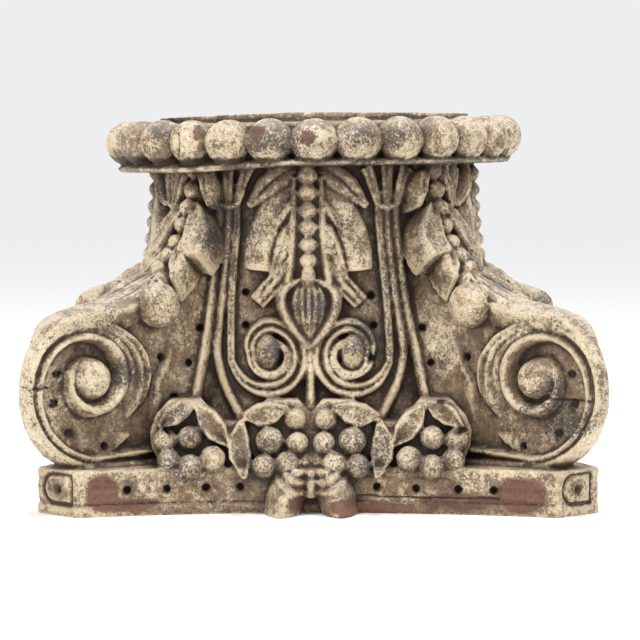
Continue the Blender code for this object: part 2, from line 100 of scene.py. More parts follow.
def delete(obj):
    mesh = obj.data
    bpy.data.objects.remove(obj)
    bpy.data.meshes.remove(mesh)


# Lines, lofts and blades


def smooth_path(points, steps):
    """Points along a smooth curve through the given ones."""
    points = [np.array(p, float) for p in points]
    ends = [2 * points[0] - points[1], *points, 2 * points[-1] - points[-2]]
    made = []
    for t in np.linspace(0, len(points) - 1, steps):
        i = min(int(t), len(points) - 2)
        u = t - i
        a, b, c, d = ends[i : i + 4]
        cubic = (c - a) * u + (2 * a - 5 * b + 4 * c - d) * u**2 + (3 * b - a - 3 * c + d) * u**3
        made.append(0.5 * (2 * b + cubic))
    return made


def between(values, t):
    return float(np.interp(t, np.linspace(0, 1, len(values)), values))


def at_quarter(values, quarters):
    return float(np.interp(quarters, range(len(values)), values))


def mound(distance, half):
    """A rounded section: 1 in the middle and 0 at the half width."""
    return math.sqrt(max(1 - (distance / half) ** 2, 0))


def round_bead(segments):
    """A sphere of radius 1, as its points and faces, for copying."""
    bpy.ops.mesh.primitive_uv_sphere_add(segments=segments, ring_count=segments * 2 // 3, radius=1)
    bead = bpy.context.object
    points = np.empty(len(bead.data.vertices) * 3)
    bead.data.vertices.foreach_get("co", points)
    faces = [list(face.vertices) for face in bead.data.polygons]
    delete(bead)
    return points.reshape(-1, 3), faces


BEADS = {segments: round_bead(segments) for segments in (20, 28)}


class Carving:
    """Closed shapes gathered as points and faces, which may run into each other."""

    def __init__(self):
        self.points = []
        self.faces = []
        self.count = 0

    def add(self, points, faces):
        points = np.asarray(points, float)
        self.points.append(points)
        self.faces += [[i + self.count for i in face] for face in faces]
        self.count += len(points)

    def loft(self, rings):
        """Skins closed rings of points one after another, and caps both ends."""
        width = len(rings[0])
        faces = [list(range(width))[::-1], [i + width * (len(rings) - 1) for i in range(width)]]
        for row in range(len(rings) - 1):
            for i in range(width):
                j = (i + 1) % width
                low = row * width
                faces.append([low + i, low + j, low + width + j, low + width + i])
        self.add([p for ring in rings for p in ring], faces)

    def ball(self, centre, radii, turn=None, segments=20):
        points, faces = BEADS[segments]
        turn = np.array(turn.to_3x3()) if turn else np.identity(3)
        self.add((points * np.array(radii)) @ turn.T + np.array(centre), faces)

    def quarter_turns(self):
        """Repeats what has been modelled on one side for the other three."""
        points, faces = np.concatenate(self.points), list(self.faces)
        for quarter in range(1, 4):
            turn = np.array(Matrix.Rotation(quarter * math.pi / 2, 3, "Z"))
            self.add(points @ turn.T, faces)

    def tree(self):
        return BVHTree.FromPolygons([tuple(p) for p in np.concatenate(self.points)], self.faces)


def hollow_height(a):
    """The height of a dished leaf, a share of its half width from the middle, with a rim round it."""
    rim = 0.78
    return 0.45 + 0.55 * mound(a - rim, 0.24) if a > rim else 1 - 0.24 * mound(a, rim)


# Sections of a carved blade, as (share of the half width, share of its height)
ROUND = [(math.sin(a) * 1.0, math.cos(a) ** 0.8) for a in np.linspace(-1.5, 1.5, 13)]
FLAT = [(-1, 0.5), (-0.93, 0.86), (-0.7, 1), (0, 1.03), (0.7, 1), (0.93, 0.86), (1, 0.5)]
HOLLOW = [(a, hollow_height(abs(a))) for a in np.linspace(-1, 1, 19)]
TWIN = [(a, max(mound(abs(a) - 0.54, 0.48), 0.30)) for a in np.linspace(-1, 1, 21)]
CREASED = [(-1, 0.4), (-0.9, 0.78), (-0.55, 1), (-0.2, 0.9), (0, 0.62), (0.2, 0.9), (0.55, 1), (0.9, 0.78), (1, 0.4)]
THREE = [
    (-1, 0.3), (-0.85, 0.9), (-0.62, 0.95), (-0.42, 0.5), (-0.2, 1),
    (0.2, 1), (0.42, 0.5), (0.62, 0.95), (0.85, 0.9), (1, 0.3),
]


def fluted(count, depth, crown=0.25):
    """A section with a number of grooves, a little higher in the middle."""
    made = []
    for a in np.linspace(-1, 1, 8 * count + 1):
        flute = 0.5 - 0.5 * math.cos(math.pi * count * (a + 1))
        edge = mound(a, 1.02) ** 0.6
        made.append((a, max(edge * (1 - crown * a * a - depth * flute), 0.1)))
    return made


def blade(shape, place, path, half_widths, rises, section, sink, steps=28, shift=None):
    """A ridge or leaf along a path drawn on a surface; place(across, along, height) puts it there.

    Widths, rises and sink are in millimetres. shift(t, share) adds to the height.
    """
    line = smooth_path(path, steps)
    rings = []
    for i, point in enumerate(line):
        t = i / (steps - 1)
        ahead = line[min(i + 1, steps - 1)] - line[max(i - 1, 0)]
        side = np.array((-ahead[1], ahead[0])) / max(np.hypot(*ahead), 1e-9)
        width, rise = between(half_widths, t), between(rises, t)
        top = []
        for a, up in section:
            extra = shift(t, a) if shift else 0
            top.append(place(*(point + side * a * width), (rise * up + extra) * MM))
        foot = [place(*(point + side * a * width * 0.8), -sink * MM) for a in (0.9, 0.3, -0.3, -0.9)]
        rings.append(top + foot)
    shape.loft(rings)


# The block: abacus, bell, ring and corners


def abacus_outline(inset, steps=28):
    """The abacus in plan: a hollow arc on each side and a straight cut at each corner."""
    reach = ABACUS_SPAN / 2 - inset
    chord = ABACUS_SPAN / 2 - HORN_WIDTH / math.sqrt(2)
    arc = (chord**2 + ABACUS_HOLLOW**2) / (2 * ABACUS_HOLLOW)
    half = math.asin(chord / arc)
    side = []
    for i in range(steps + 1):
        angle = half * (2 * i / steps - 1)
        side.append((arc * math.sin(angle), -reach + arc * (math.cos(angle) - math.cos(half))))
    points = []
    for quarter in range(4):
        turn = Matrix.Rotation(quarter * math.pi / 2, 2)
        points += [turn @ Vector(p) for p in side]
    return points


def abacus(shape):
    profile = (
        (-4, 1.6), (0.0, 1.2), (1.2, 0.3), (6.6, 0), (7.4, 0.6), (8.0, 2.2), (8.8, 2.2), (9.6, 1.0),
        (24.6, 0.9), (25.3, 2.2), (26.1, 2.2), (26.9, 0.4), (29, 0), (31.8, 0.4), (33, 1.4),
    )
    rings = []
    for z, inset in profile:
        rings.append([(p[0] + ABACUS_SHIFT, p[1], z * MM) for p in abacus_outline(inset * MM)])
    shape.loft(rings)


def bell_radius(z):
    down = min(max((BELL_TOP - z) / (BELL_TOP - ABACUS_THICKNESS), 0), 1)
    return NECK_RADIUS + (LIP_RADIUS - NECK_RADIUS) * down**2.5


def turned(shape, profile, tilt=0.0, steps=128, sag=None):
    """A turned form, tilted about the Y axis at its lowest height. sag(x, z) moves a point up."""
    height = profile[0][1]
    lean = Matrix.Translation((0, 0, height)) @ Matrix.Rotation(tilt, 4, "Y") @ Matrix.Translation((0, 0, -height))
    rings = []
    for radius, z in profile:
        angles = (2 * math.pi * i / steps for i in range(steps))
        ring = [lean @ Vector((radius * math.cos(a), radius * math.sin(a), z)) for a in angles]
        if sag:
            ring = [p + Vector((0, 0, sag(p.x, z))) for p in ring]
        rings.append(ring)
    shape.loft(rings)


def bell(shape):
    heights = np.linspace(ABACUS_THICKNESS, BELL_TOP, 25)
    profile = [(LIP_RADIUS, ABACUS_THICKNESS / 2)] + [(bell_radius(z), z) for z in heights]
    profile += [(NECK_RADIUS, RING_TOP), (DISC_RADIUS, RING_TOP), (DISC_RADIUS, TOTAL_HEIGHT + 0.004)]
    turned(shape, profile)


def band_sag(x, z):
    """How far the band under the beads sags on the left and lifts near the middle."""
    if z >= BAND_TOP:
        return 0.0
    return float(np.interp(x, (-0.15, -0.09, -0.02, 0.15), (-0.0030, -0.0028, 0.0010, 0)))


def ring_of_beads(shape):
    profile = [
        (0.106, 0.2475), (0.146, 0.2475), (0.1497, 0.2485), (0.1508, 0.2505), (0.1480, 0.2522), (0.1400, 0.2540),
        (0.1385, 0.2640), (0.1385, 0.2745), (0.136, 0.2795), (0.106, 0.2815),
    ]
    turned(shape, profile, RING_TILT, sag=band_sag)
    lean = Matrix.Rotation(RING_TILT, 3, "Y")
    pitch = 2 * math.pi / BEAD_COUNT
    length = RING_RADIUS * math.sin(pitch / 2) * 1.12
    for i in range(BEAD_COUNT):
        angle = i * pitch - math.pi / 2
        wobble = noise.random_vector()
        out = Vector((math.cos(angle), math.sin(angle), 0)) * (RING_RADIUS + 0.0005 * wobble.x)
        centre = lean @ out + Vector((0, 0, BEAD_MIDDLE + 0.0004 * wobble.y))
        turn = (lean @ Matrix.Rotation(angle + 0.05 * wobble.z, 3, "Z")).to_4x4()
        size = BEAD_RADIUS * (1 + 0.02 * wobble.z)
        shape.ball(centre, (size, length, size * 0.965), turn, 28)


def corner_point(reach, side, z):
    """A point by its reach along the front left diagonal, its offset to the front of it, and height."""
    across = 1 / math.sqrt(2)
    return Vector(((side - reach) * across, (-side - reach) * across, z))


# The corner scroll, drawn in millimetres round its eye. Turns are counted in quarters from straight
# down (0), outwards (1), up (2) and inwards (3).
FLANGE_TURN = (61.5, 48.5, 48, 46, 60)
RIM_TURN = (62.3, 48.5, 38.5)
TAIL_TURN = (41.5, 45, 51, 53)
COIL_TURN = (57.0, 40.5, 30, 24.3, 21.8, 17.3, 15)
COIL_HALF = (2.7, 2.9, 3.6, 6.0, 5.4, 2.4, 0.5)
COIL_PROUD = (0.6, 1.4, 2.8, 4.2, 5.0, 2.0, -6.0)
EYE_RADIUS = 15.6


def flange_point(quarters, widen=0.0):
    angle = (quarters - 1) * math.pi / 2
    radius = at_quarter(FLANGE_TURN, quarters) * MM + widen
    return EYE_REACH + radius * math.cos(angle), EYE_HEIGHT + radius * math.sin(angle)


def face_half(out):
    return max(FLANGE_HALF + (0.0635 - out) * FACE_SPLAY, FLANGE_HALF)


def face_height(out, up):
    """Height of the carved scroll face over its plane, in millimetres, at a place round the eye."""
    radius = math.hypot(out, up)
    quarters = (math.atan2(up, out) / (math.pi / 2) + 1) % 4
    ground = -CHANNEL
    height = ground
    ridge = float(np.interp(up, (-45, -6, 16, 54, 110), (-54, -57, -71, -90, -100)))
    if up > -45:
        rise = min((up + 45) / 30, 1)
        if out < ridge:
            beside = (ridge - out) / 26
            height = ground + rise * (5.2 - 2.6 * math.sin(math.pi * min(max(beside, 0), 1)))
        else:
            height = ground + rise * float(np.interp(out - ridge, (0, 2, 5, 10, 16, 26), (5.2, 3.0, -4, -7, -7, 0)))
    coil_low = -57.5 - out / 15
    rim_low = -61.8
    in_run = out < 0 and up < -40
    # The channel is hollowed towards the roll round the eye
    outer = -coil_low if in_run else at_quarter(COIL_TURN, min(quarters, 6))
    inner = 26 if in_run else at_quarter(COIL_TURN, quarters + 4) + 4 if quarters < 1.4 else outer
    if (quarters < 1.9 or in_run) and radius < outer:
        share = min(max((radius - inner) / max(outer - inner, 1), 0), 1)
        height += 3.4 * share**1.5 - 2.6 * (1 - share) ** 2
    if 1.3 < quarters < 2.4 and radius < at_quarter(COIL_TURN, quarters):
        height -= 4.5 * math.sin(math.pi * (quarters - 1.3) / 1.1)
    if in_run:
        bottom = min(max(1 + (out + 78) / 12, 0), 1)
        if -66 < up < coil_low:
            height = max(height, ground + (-6.0 - ground) * bottom)
        height = max(height, ground + (0.8 - ground) * bottom * mound(up - rim_low, 2.7))
        height = max(height, ground + (0.6 - ground) * bottom * mound(up - coil_low, 2.7))
    elif quarters <= 2.0:
        rim = at_quarter(RIM_TURN, quarters)
        if at_quarter(COIL_TURN, quarters) < radius < rim:
            height = max(height, -6.0)
        height = max(height, ground + (1.2 - ground) * mound(radius - rim, 2.9))
    if 1.9 < quarters < 3.5:
        edge = at_quarter(TAIL_TURN, (quarters - 2) * 2.5)
        coil = at_quarter(COIL_TURN, quarters) + 2
        share = (radius - coil) / (edge - coil)
        left = float(np.interp(share, (0, 0.35, 0.7, 1), (3.05, 3.3, 3.5, 3.05))) - quarters
        if 0 < share < 1 and left > 0:
            start = min(max((quarters - 1.9) * 4, 0), 1)
            streak = 1.3 * math.cos(7 * math.pi * share) * start
            fall = 5 * max(share - 0.86, 0) / 0.14
            body = -2.2 + 1.6 * share + streak - fall
            height = max(height, ground + (body - ground) * min(left / 0.3, 1) ** 0.5)
    for lap in (0, 4):
        turn = quarters + lap
        if turn <= 5.9 and (lap or not in_run):
            half = at_quarter(COIL_HALF, turn)
            top = at_quarter(COIL_PROUD, turn)
            height = max(height, ground + (top - ground) * mound(radius - at_quarter(COIL_TURN, turn), half))
    if radius < EYE_RADIUS:
        height = max(height, ground + (8 - ground) * math.sqrt(1 - (radius / EYE_RADIUS) ** 2.6))
    return height


def flange(shape):
    """The plain band in the middle of the scroll's edge."""
    steps = 72
    rings = []
    for side, widen in ((-5.2, -0.004), (-4.6, -0.0008), (-3.0, 0), (3.0, 0), (4.6, -0.0008), (5.2, -0.004)):
        turns = (4 * i / steps for i in range(steps))
        rings.append([corner_point(out, side * MM, z) for out, z in (flange_point(q, widen) for q in turns)])
    shape.loft(rings)


def spine_points():
    """The middle line of the corner leaf, as (reach, height), from the neck to the scroll's crown."""
    neck = NECK_RADIUS + 0.006
    crown = flange_point(2)[1]
    drop = BELL_TOP - crown
    reach = EYE_REACH - neck
    shares = (
        (0.0, 0.0), (0.06, 0.28), (0.15, 0.52), (0.26, 0.70),
        (0.40, 0.82), (0.60, 0.92), (0.80, 0.975), (1.0, 0.99),
    )
    line = [(neck + reach * a, BELL_TOP - drop * b) for a, b in shares]
    return line + [flange_point(quarters, 0.002) for quarters in (1.65, 1.35)]


SPINE = smooth_path(spine_points(), 80)
SPINE_LENGTH = np.concatenate(([0.0], np.cumsum([np.hypot(*(b - a)) for a, b in zip(SPINE, SPINE[1:])])))


def spine_reach(z):
    falling = [p for p in SPINE if p[0] <= EYE_REACH]
    return float(np.interp(z, [p[1] for p in falling[::-1]], [p[0] for p in falling[::-1]]))


def on_spine(along):
    along = min(max(along, 0), SPINE_LENGTH[-1])
    i = min(int(np.searchsorted(SPINE_LENGTH, along, side="right")) - 1, len(SPINE) - 2)
    ahead = SPINE[i + 1] - SPINE[i]
    ahead = ahead / np.hypot(*ahead)
    return SPINE[i] + ahead * (along - SPINE_LENGTH[i]), np.array((-ahead[1], ahead[0]))


def on_leaf(side, along, height):
    """A place on the corner leaf, in millimetres, with height in metres; the leaf falls off sideways."""
    point, out = on_spine(along * MM)
    side *= MM
    reach, z = point + out * (height - side**2 / 0.11)
    return corner_point(reach, side, z)


def face_edge(up):
    """How far outwards of its eye the carved face goes, at a height over the eye."""
    rim = -EYE_REACH
    for i in range(161):
        quarters = i / 80
        angle = (quarters - 1) * math.pi / 2
        reach = (at_quarter(RIM_TURN, quarters) + 2.8) * MM
        if abs(reach * math.sin(angle) - up) < 1.2 * reach * math.pi / 320:
            rim = max(rim, reach * math.cos(angle))
    if up > 0:
        rim = max(rim, spine_reach(EYE_HEIGHT + up) - EYE_REACH - 0.004)
    return max(rim, -EYE_REACH / 2)


def corner_body(shape):
    """The corner from the bell to the scroll: a wedge whose two faces carry the coil."""
    step = 0.0012
    low, high = ABACUS_THICKNESS - 0.004, BELL_TOP + 0.005
    rows = int((high - low) / step)
    columns = 150
    root = NECK_RADIUS * 0.75 - EYE_REACH
    crown = EYE_HEIGHT + 42 * MM
    for side in (-1, 1):
        rings = []
        for j in range(rows + 1):
            z = low + (high - low) * j / rows
            up = z - EYE_HEIGHT
            edge = face_edge(up)
            late = min(max((z - crown) / (BELL_TOP - crown), 0), 1) ** 0.6
            early = float(np.interp(up / MM, (-11, 4, 29, 60, 84), (0, 0.2, 0.6, 0.95, 1)))
            ring = []
            for i in range(columns + 1):
                out = root + (edge - root) * (i / columns)
                carved = face_half(out) + face_height(out / MM, up / MM) * MM
                taper = max(late, early * min(max((-48 - out / MM) / 25, 0), 1))
                half = carved + (0.0130 - carved) * taper
                ring.append(corner_point(EYE_REACH + out, side * max(half, 0.004), z))
            ring.append(corner_point(EYE_REACH + edge, -side * 0.001, z))
            ring.append(corner_point(EYE_REACH + root, -side * 0.001, z))
            rings.append(ring)
        shape.loft(rings)


# The leaf down each corner


def corner_leaf(shape):
    length = SPINE_LENGTH[-1] / MM
    blade(shape, on_leaf, [(0, 0), (0, length * 0.42)], (7, 8, 9), (1.5, 2.5, 3.5), ROUND, 12, 30)
    crown = [(0, 94), (0, length * 0.7), (0, length * 0.985)]
    blade(shape, on_leaf, crown, (12, 18, 21, 19, 15, 8), (6.5, 8, 6.0, 3.4, 1.4, -2), fluted(5, 0.20), 14, 60)
    lobes = (
        ([(5, 4), (13.5, 14), (17.5, 33)], (2.0, 5.6, 5.8, 1.4), (5, 10, 10, 6), CREASED),
        ([(5, 31), (13, 44), (18, 58), (18.5, 75)], (3.0, 6.5, 9.0, 9.5, 8.5), (6, 10.5, 12, 12.5, 13.5), HOLLOW),
        ([(6, 62), (11, 80), (17.5, 99)], (3.5, 6, 6.0, 1.2), (6, 9, 10, 6), CREASED),
    )
    for side in (-1, 1):
        for path, widths, rises, section in lobes:
            path = [(side * a, b) for a, b in path]
            blade(shape, on_leaf, path, widths, rises, section, 16, 40)
        shape.ball(on_leaf(side * 22.5, 122, -0.003), (0.0155, 0.0155, 0.0165), segments=28)
        wrap = [(side * 5, 97), (side * 12, 106), (side * 15, 122), (side * 12, 145)]
        blade(shape, on_leaf, wrap, (3, 5, 6.5, 2.5), (6.5, 9.5, 10, 6), ROUND, 10, 30)
        # The turned-in end of the leaf, cut into the ball
        for bow, rise in ((0, 13.5), (4.2, 13.0)):
            crease = [(side * (16 - bow), 113 + bow), (side * (23.5 - bow), 114 + bow), (side * (29 - bow), 120 + bow)]
            blade(shape, on_leaf, crease, (0.4, 1.7, 1.5, 0.4), (rise, rise + 1.8, rise - 0.6), ROUND, -8, 14)
    for i in range(7):
        along = 6 + 14.6 * i
        size = 0.0069 * (1 - 0.03 * i)
        stretch = 1.0 if i < 5 else 1.3
        shape.ball(on_leaf(0, along, 0.0050), (size, size, size * stretch))


# The relief on each side, laid on the block from the front

GRAPE_RADIUS = 0.0087


def motif_shift(up):
    return float(np.interp(up, MOTIF_HEIGHTS, MOTIF_SHIFTS))


class Side:
    """The block seen along +Y: it puts what is drawn across and up, in millimetres, on the block."""

    def __init__(self, block):
        self.tree = block.tree()

    def place(self, across, up, height, least=0.0):
        """least keeps it at that distance in front of the middle or further, in metres."""
        x, z = (across + motif_shift(up)) * MM, up * MM
        start = Vector((x, -1, min(max(z, 0.001), TOTAL_HEIGHT)))
        found, _, _, _ = self.tree.ray_cast(start, Vector((0, 1, 0)))
        y = min(found.y if found else -NECK_RADIUS, -least)
        return Vector((x, y - height, z))

    def at_least(self, least):
        return lambda across, up, height: self.place(across, up, height, least)


def spiral(centre, radii, start, quarters, steps):
    made = []
    for i in range(steps):
        t = i / (steps - 1)
        angle = start + quarters * t * math.pi / 2
        radius = between(radii, t)
        made.append((centre[0] + radius * math.cos(angle), centre[1] + radius * math.sin(angle)))
    return made


def stems(shape, side, place):
    """The three ribs beside the middle leaf: two end in grapes, and the third is the small scroll."""
    outer = [(64.8, 226), (65.5, 200), (71.5, 150), (77, 114), (84, 76)]
    middle = [(58.2, 226), (59.0, 200), (64.2, 150), (68.3, 114), (63.5, 90), (50, 64)]
    for path in (outer, middle):
        path = [(side * a, b) for a, b in path]
        blade(shape, place, path, (2.8, 2.9, 3.4, 3.9), (7, 9, 10, 11), ROUND, 6, 60)
    turn = (27.6, 24.2, 22.8, 22.2, 12.6, 13.8, 13.8, 10.5)
    coil = spiral((30.5, 110), turn, 0.0, -7.0, 40)
    path = [(51.4, 226), (52.4, 200), (57.0, 150), *coil]
    path = [(side * a, b) for a, b in path]
    widths = (2.6, 3.1, 6.0, 6.8, 5.8, 5.4, 3.8, 3.2, 2.9, 2.6, 2.0)
    blade(shape, place, path, widths, (6.5, 8, 11, 12.5, 12.5, 12.5, 12, 12, 12, 12, 11), TWIN, 6, 170)
    shape.ball(place(side * 30.6, 112.3, 0.0055), (0.0088, 0.0115, 0.0128), segments=28)
    # The flared calyx that the stems come out of, close under the ring
    for a0, a1, a2 in ((66, 69, 73), (58.5, 58.5, 58.5), (51.5, 48, 43.5)):
        path = [(side * a0, 221), (side * a1, 234), (side * a2, 247)]
        blade(shape, place, path, (2.8, 4.0, 5.0), (8.5, 8.5, 7.5), CREASED, 6, 18)
    path = [(side * 50, 220.5), (side * 58.5, 217.5), (side * 67.5, 220.5)]
    blade(shape, place, path, (1.8, 3.0, 1.8), (9, 11, 9), ROUND, 6, 14)


def middle_leaf(shape, place):
    """The leaf that hangs from the ring in the middle of a side, with its pearls and its bud."""
    body = fluted(5, 0.16, 0.3)
    blade(shape, place, [(0, 247), (0, 200), (0, 146)], (11, 19, 25, 26, 24, 17), (4, 7, 9, 10, 10, 9), body, 6, 40)
    for side in (-1, 1):
        beside = [(side * 9.6, 240), (side * 10.6, 212), (side * 12.2, 188), (side * 15, 163)]
        blade(shape, place, beside, (1.8, 3.0, 4.2, 4.4, 4.0), (8, 12, 14, 15, 16), ROUND, 6, 44)
        for start, end in ((222, 205), (205, 184), (189, 167)):
            vein = [(side * 11, start), (side * 19, end + 5), (side * 29, end - 9)]
            blade(shape, place, vein, (2.8, 3.6, 3.2, 1.0), (11, 13.5, 13, 10), ROUND, 6, 26)
    spread = (
        ([(9, 246), (24, 238), (43.5, 218)], (3, 8.6, 8.8, 2.5), (5, 11, 12, 9), CREASED),
        ([(9, 233), (27, 213), (36, 190), (38, 172)], (4, 9.5, 10.5, 9.8, 9), (6, 11, 13.5, 15, 17), FLAT),
        ([(8, 209), (17, 194), (27, 166)], (3.5, 5.4, 5.6, 3.0), (9, 14, 15, 12), CREASED),
        ([(9, 182), (23, 165), (38, 148)], (3.5, 6.6, 7.2, 6.6), (8, 12, 12.5, 10), THREE),
    )
    for side in (-1, 1):
        for path, widths, rises, section in spread:
            path = [(side * a, b) for a, b in path]
            blade(shape, place, path, widths, rises, section, 6, 34)
    veins = fluted(6, 0.20, 0.18)
    bud = [(0, 163), (0, 144), (0, 120)]
    blade(shape, place, bud, (9, 14.5, 16, 14.5, 9.5, 2), (14, 19.5, 22, 21, 17, 11), veins, 4, 40)
    for side in (-1, 1):
        rim = [(side * 7, 165), (side * 17.5, 158), (side * 19.5, 146), (side * 12.5, 131), (side * 1.2, 117)]
        blade(shape, place, rim, (2.4, 4.2, 4.6, 4.2, 2.8), (14, 18, 19.5, 18, 13), ROUND, 6, 44)
    for i, up in enumerate((241, 228.5, 215.5, 203, 190.5, 179)):
        size = 0.0073 * (1 - 0.03 * i)
        shape.ball(place(0, up, 0.0078 + 0.0007 * i), (size, size, size * 0.92))
    shape.ball(place(0, 167.5, 0.0125), (0.0055, 0.006, 0.0088))
    blade(shape, place, [(0, 122), (0, 70), (0, 12)], (3.6, 3.6, 4.2, 4.2), (12, 10.5, 12, 14), ROUND, 4, 50)


# Each grape as (across, up, share of the usual size), and each leaf as (path, half widths, rises)
GRAPES_INNER = ((10.9, 66.4, 0.92), (29.7, 51.4, 1.16), (9.4, 49.8, 0.94), (33.5, 34, 1.0), (16.9, 35.5, 1.04))
GRAPES_OUTER = ((104.4, 52.1, 0.98), (87, 53.6, 1.02), (102, 38.5, 0.96), (86.3, 34, 1.02), (70.4, 39.3, 1.06))
VINE_LEAVES = (
    ([(49, 68.5), (33, 70.5), (16, 75.5)], (1.5, 8.2, 8.2, 1), (7, 12, 13, 8)),
    ([(49.5, 66), (51.5, 47), (47, 27)], (1.5, 7.6, 8.4, 1.5), (7, 15, 22, 25)),
    ([(83, 78.5), (95, 72), (109.5, 61.5)], (1.5, 7.0, 7.2, 1), (7, 13, 15, 12)),
    ([(82, 77), (70.5, 62.5), (59, 48)], (1.5, 8.2, 8.2, 1), (7, 13, 16, 16)),
)


def grapes(shape, side, view):
    """Two bunches of grapes on one half of a side, under their leaves; they lean out towards the bottom."""
    for bunch, forward in ((GRAPES_INNER, 0), (GRAPES_OUTER, 1.5)):
        middle = np.mean([a for a, b, share in bunch])
        path = [(side * middle, 80), (side * middle, 58), (side * middle, 36)]
        back = view.at_least((151 + forward) * MM)
        blade(shape, back, path, (12, 22, 26, 25, 20), (7, 10, 18), FLAT, 34, 24)
        for a, b, share in bunch:
            size = GRAPE_RADIUS * share
            depth = (160 + forward + 0.45 * (66 - b)) * MM
            spot = Vector(((side * a + motif_shift(b)) * MM, -depth, b * MM))
            shape.ball(spot, (size, size * 1.15, size), segments=28)
    # The ground between the two bunches
    behind = view.at_least(0.150)
    blade(shape, behind, [(side * 56, 64), (side * 56, 34)], (14, 16, 14), (6, 16), FLAT, 30, 10)
    for path, widths, rises in VINE_LEAVES:
        path = [(side * a, b) for a, b in path]
        place = view.at_least(0.156 if max(abs(a) for a, b in path) < 60 else 0.158)
        blade(shape, place, path, widths, rises, HOLLOW, 26, 34)


def fleuron(shape, side, place):
    """One of the two leaf tips that hang over the hollow side of the abacus, with curved creases."""
    path = [(side * 7, 38), (side * 12, 26), (side * 18, 13), (side * 21.5, -2)]

    def crease(t, a):
        return 2.3 * math.cos(2 * math.pi * (5.5 * t + 0.5 * a * a)) if 0.04 < t < 0.60 else 0

    blade(shape, place, path, (6, 10.5, 13, 13.5, 12.5), (6, 15, 23, 28, 30), fluted(1, -0.1, 0.45), 6, 110, crease)


def block_form():
    shape = Carving()
    corner_body(shape)
    flange(shape)
    shape.quarter_turns()
    abacus(shape)
    bell(shape)
    return shape


def relief(block):
    shape = Carving()
    side_view = Side(block)
    corner_leaf(shape)
    middle_leaf(shape, side_view.place)
    for side in (-1, 1):
        stems(shape, side, side_view.place)
        grapes(shape, side, side_view)
        fleuron(shape, side, side_view.place)
    shape.quarter_turns()
    ring_of_beads(shape)
    return shape


def saw_level(obj, height, keep_above):
    pick(obj)
    bpy.ops.object.mode_set(mode="EDIT")
    bpy.ops.mesh.select_all(action="SELECT")
    bpy.ops.mesh.bisect(
        plane_co=(0, 0, height), plane_no=(0, 0, 1), use_fill=True, clear_inner=keep_above, clear_outer=not keep_above
    )
    bpy.ops.object.mode_set(mode="OBJECT")


def carve():
    noise.seed_set(7)
    block = block_form()
    carved = relief(block)
    carved.add(np.concatenate(block.points), block.faces)
    mesh = bpy.data.meshes.new("corinthian_capital")
    mesh.from_pydata(np.concatenate(carved.points), [], carved.faces)
    obj = bpy.data.objects.new("corinthian_capital", mesh)
    bpy.context.scene.collection.objects.link(obj)
    apply_modifier(obj, "REMESH", mode="VOXEL", voxel_size=CARVING_STEP)
    apply_modifier(obj, "SMOOTH", factor=0.5, iterations=2)
    return obj


# Working the surface: drilled holes, wobble of the hand, and masks for the paint


HOLES_FRONT = (
    (-50, 155), (-50, 131), (41.5, 153), (43.5, 131), (42, 108),
    (80, 129), (86, 104), (91, 80), (-84, 129), (-92, 104), (-102, 80),
)
HOLES_BAND = ((-133, 18.5), (-105, 18.5), (-77, 19), (-53, 19), (45, 19), (73, 18), (103, 18), (128, 18))


def arrays(mesh):
    points = np.empty(len(mesh.vertices) * 3)
    normals = np.empty(len(mesh.vertices) * 3)
    mesh.vertices.foreach_get("co", points)
    mesh.vertices.foreach_get("normal", normals)
    return points.reshape(-1, 3), normals.reshape(-1, 3)


def drill(points, spots):
    """Sinks a small round hole at each (point, direction), and returns how deep each vertex went."""
    sunk = np.zeros(len(points))
    for spot, direction in spots:
        offset = points - np.array(spot)
        direction = np.array(direction)
        along = offset @ direction
        across = np.linalg.norm(offset - np.outer(along, direction), axis=1)
        near = (across < HOLE_RADIUS + MM) & (abs(along) < 0.009)
        depth = np.clip((HOLE_RADIUS - across) / 0.0013, 0, 1)
        depth = depth * depth * (3 - 2 * depth) * near
        points += np.outer(depth * HOLE_DEPTH, direction)
        sunk = np.maximum(sunk, depth)
    return sunk


def groove(points, normals, line, half, depth):
    """Cuts a rounded groove along a line of places."""
    line = np.array([tuple(place) for place in line])
    low, high = line.min(axis=0) - half, line.max(axis=0) + half
    near = np.where(((points > low) & (points < high)).all(axis=1))[0]
    away = np.full(len(near), np.inf)
    for start, end in zip(line, line[1:]):
        along = end - start
        share = np.clip((points[near] - start) @ along / (along @ along), 0, 1)
        away = np.minimum(away, np.linalg.norm(points[near] - start - np.outer(share, along), axis=1))
    cut = np.clip(1 - away / half, 0, 1)
    points[near] -= normals[near] * (depth * cut * cut * (3 - 2 * cut))[:, None]


def corner_panels(points, normals):
    """A grooved panel with one round end on each cut corner of the abacus."""
    reach = (ABACUS_SPAN - HORN_WIDTH / math.sqrt(2)) / math.sqrt(2)
    round_end = [(-5 - 11 * math.sin(a), 19 + 10.5 * math.cos(a)) for a in np.linspace(0, math.pi, 13)]
    outline = [(14, 29.5), *round_end, (14, 8.5), (14, 29.5)]
    for quarter in range(4):
        turn = Matrix.Rotation(quarter * math.pi / 2, 3, "Z")
        shift = Vector((ABACUS_SHIFT, 0, 0))
        line = [turn @ corner_point(reach, across * MM, z * MM) + shift for across, z in outline]
        groove(points, normals, line, 0.0028, 0.0024)


# Cracks in the timber, each a line of places seen from one side: (quarter turns, ((x, z), ...))
CRACKS = (
    (0, ((163, 84), (176, 82.5), (186, 83.5), (197, 82.5))),
    (0, ((-206, 93), (-196, 91.5), (-188, 92))),
    (0, ((-101, 249), (-98, 262), (-99.5, 272))),
    (0, ((30, 13), (78, 11.5), (132, 12.5))),
    (1, ((-60, 20), (-20, 17), (20, 19), (55, 17))),
    (1, ((70, 150), (72, 120), (75, 96))),
    (2, ((-150, 12), (-90, 15), (-40, 13))),
    (2, ((20, 150), (24, 122), (21, 96), (23, 74))),
    (3, ((-30, 26), (30, 23), (90, 25))),
)


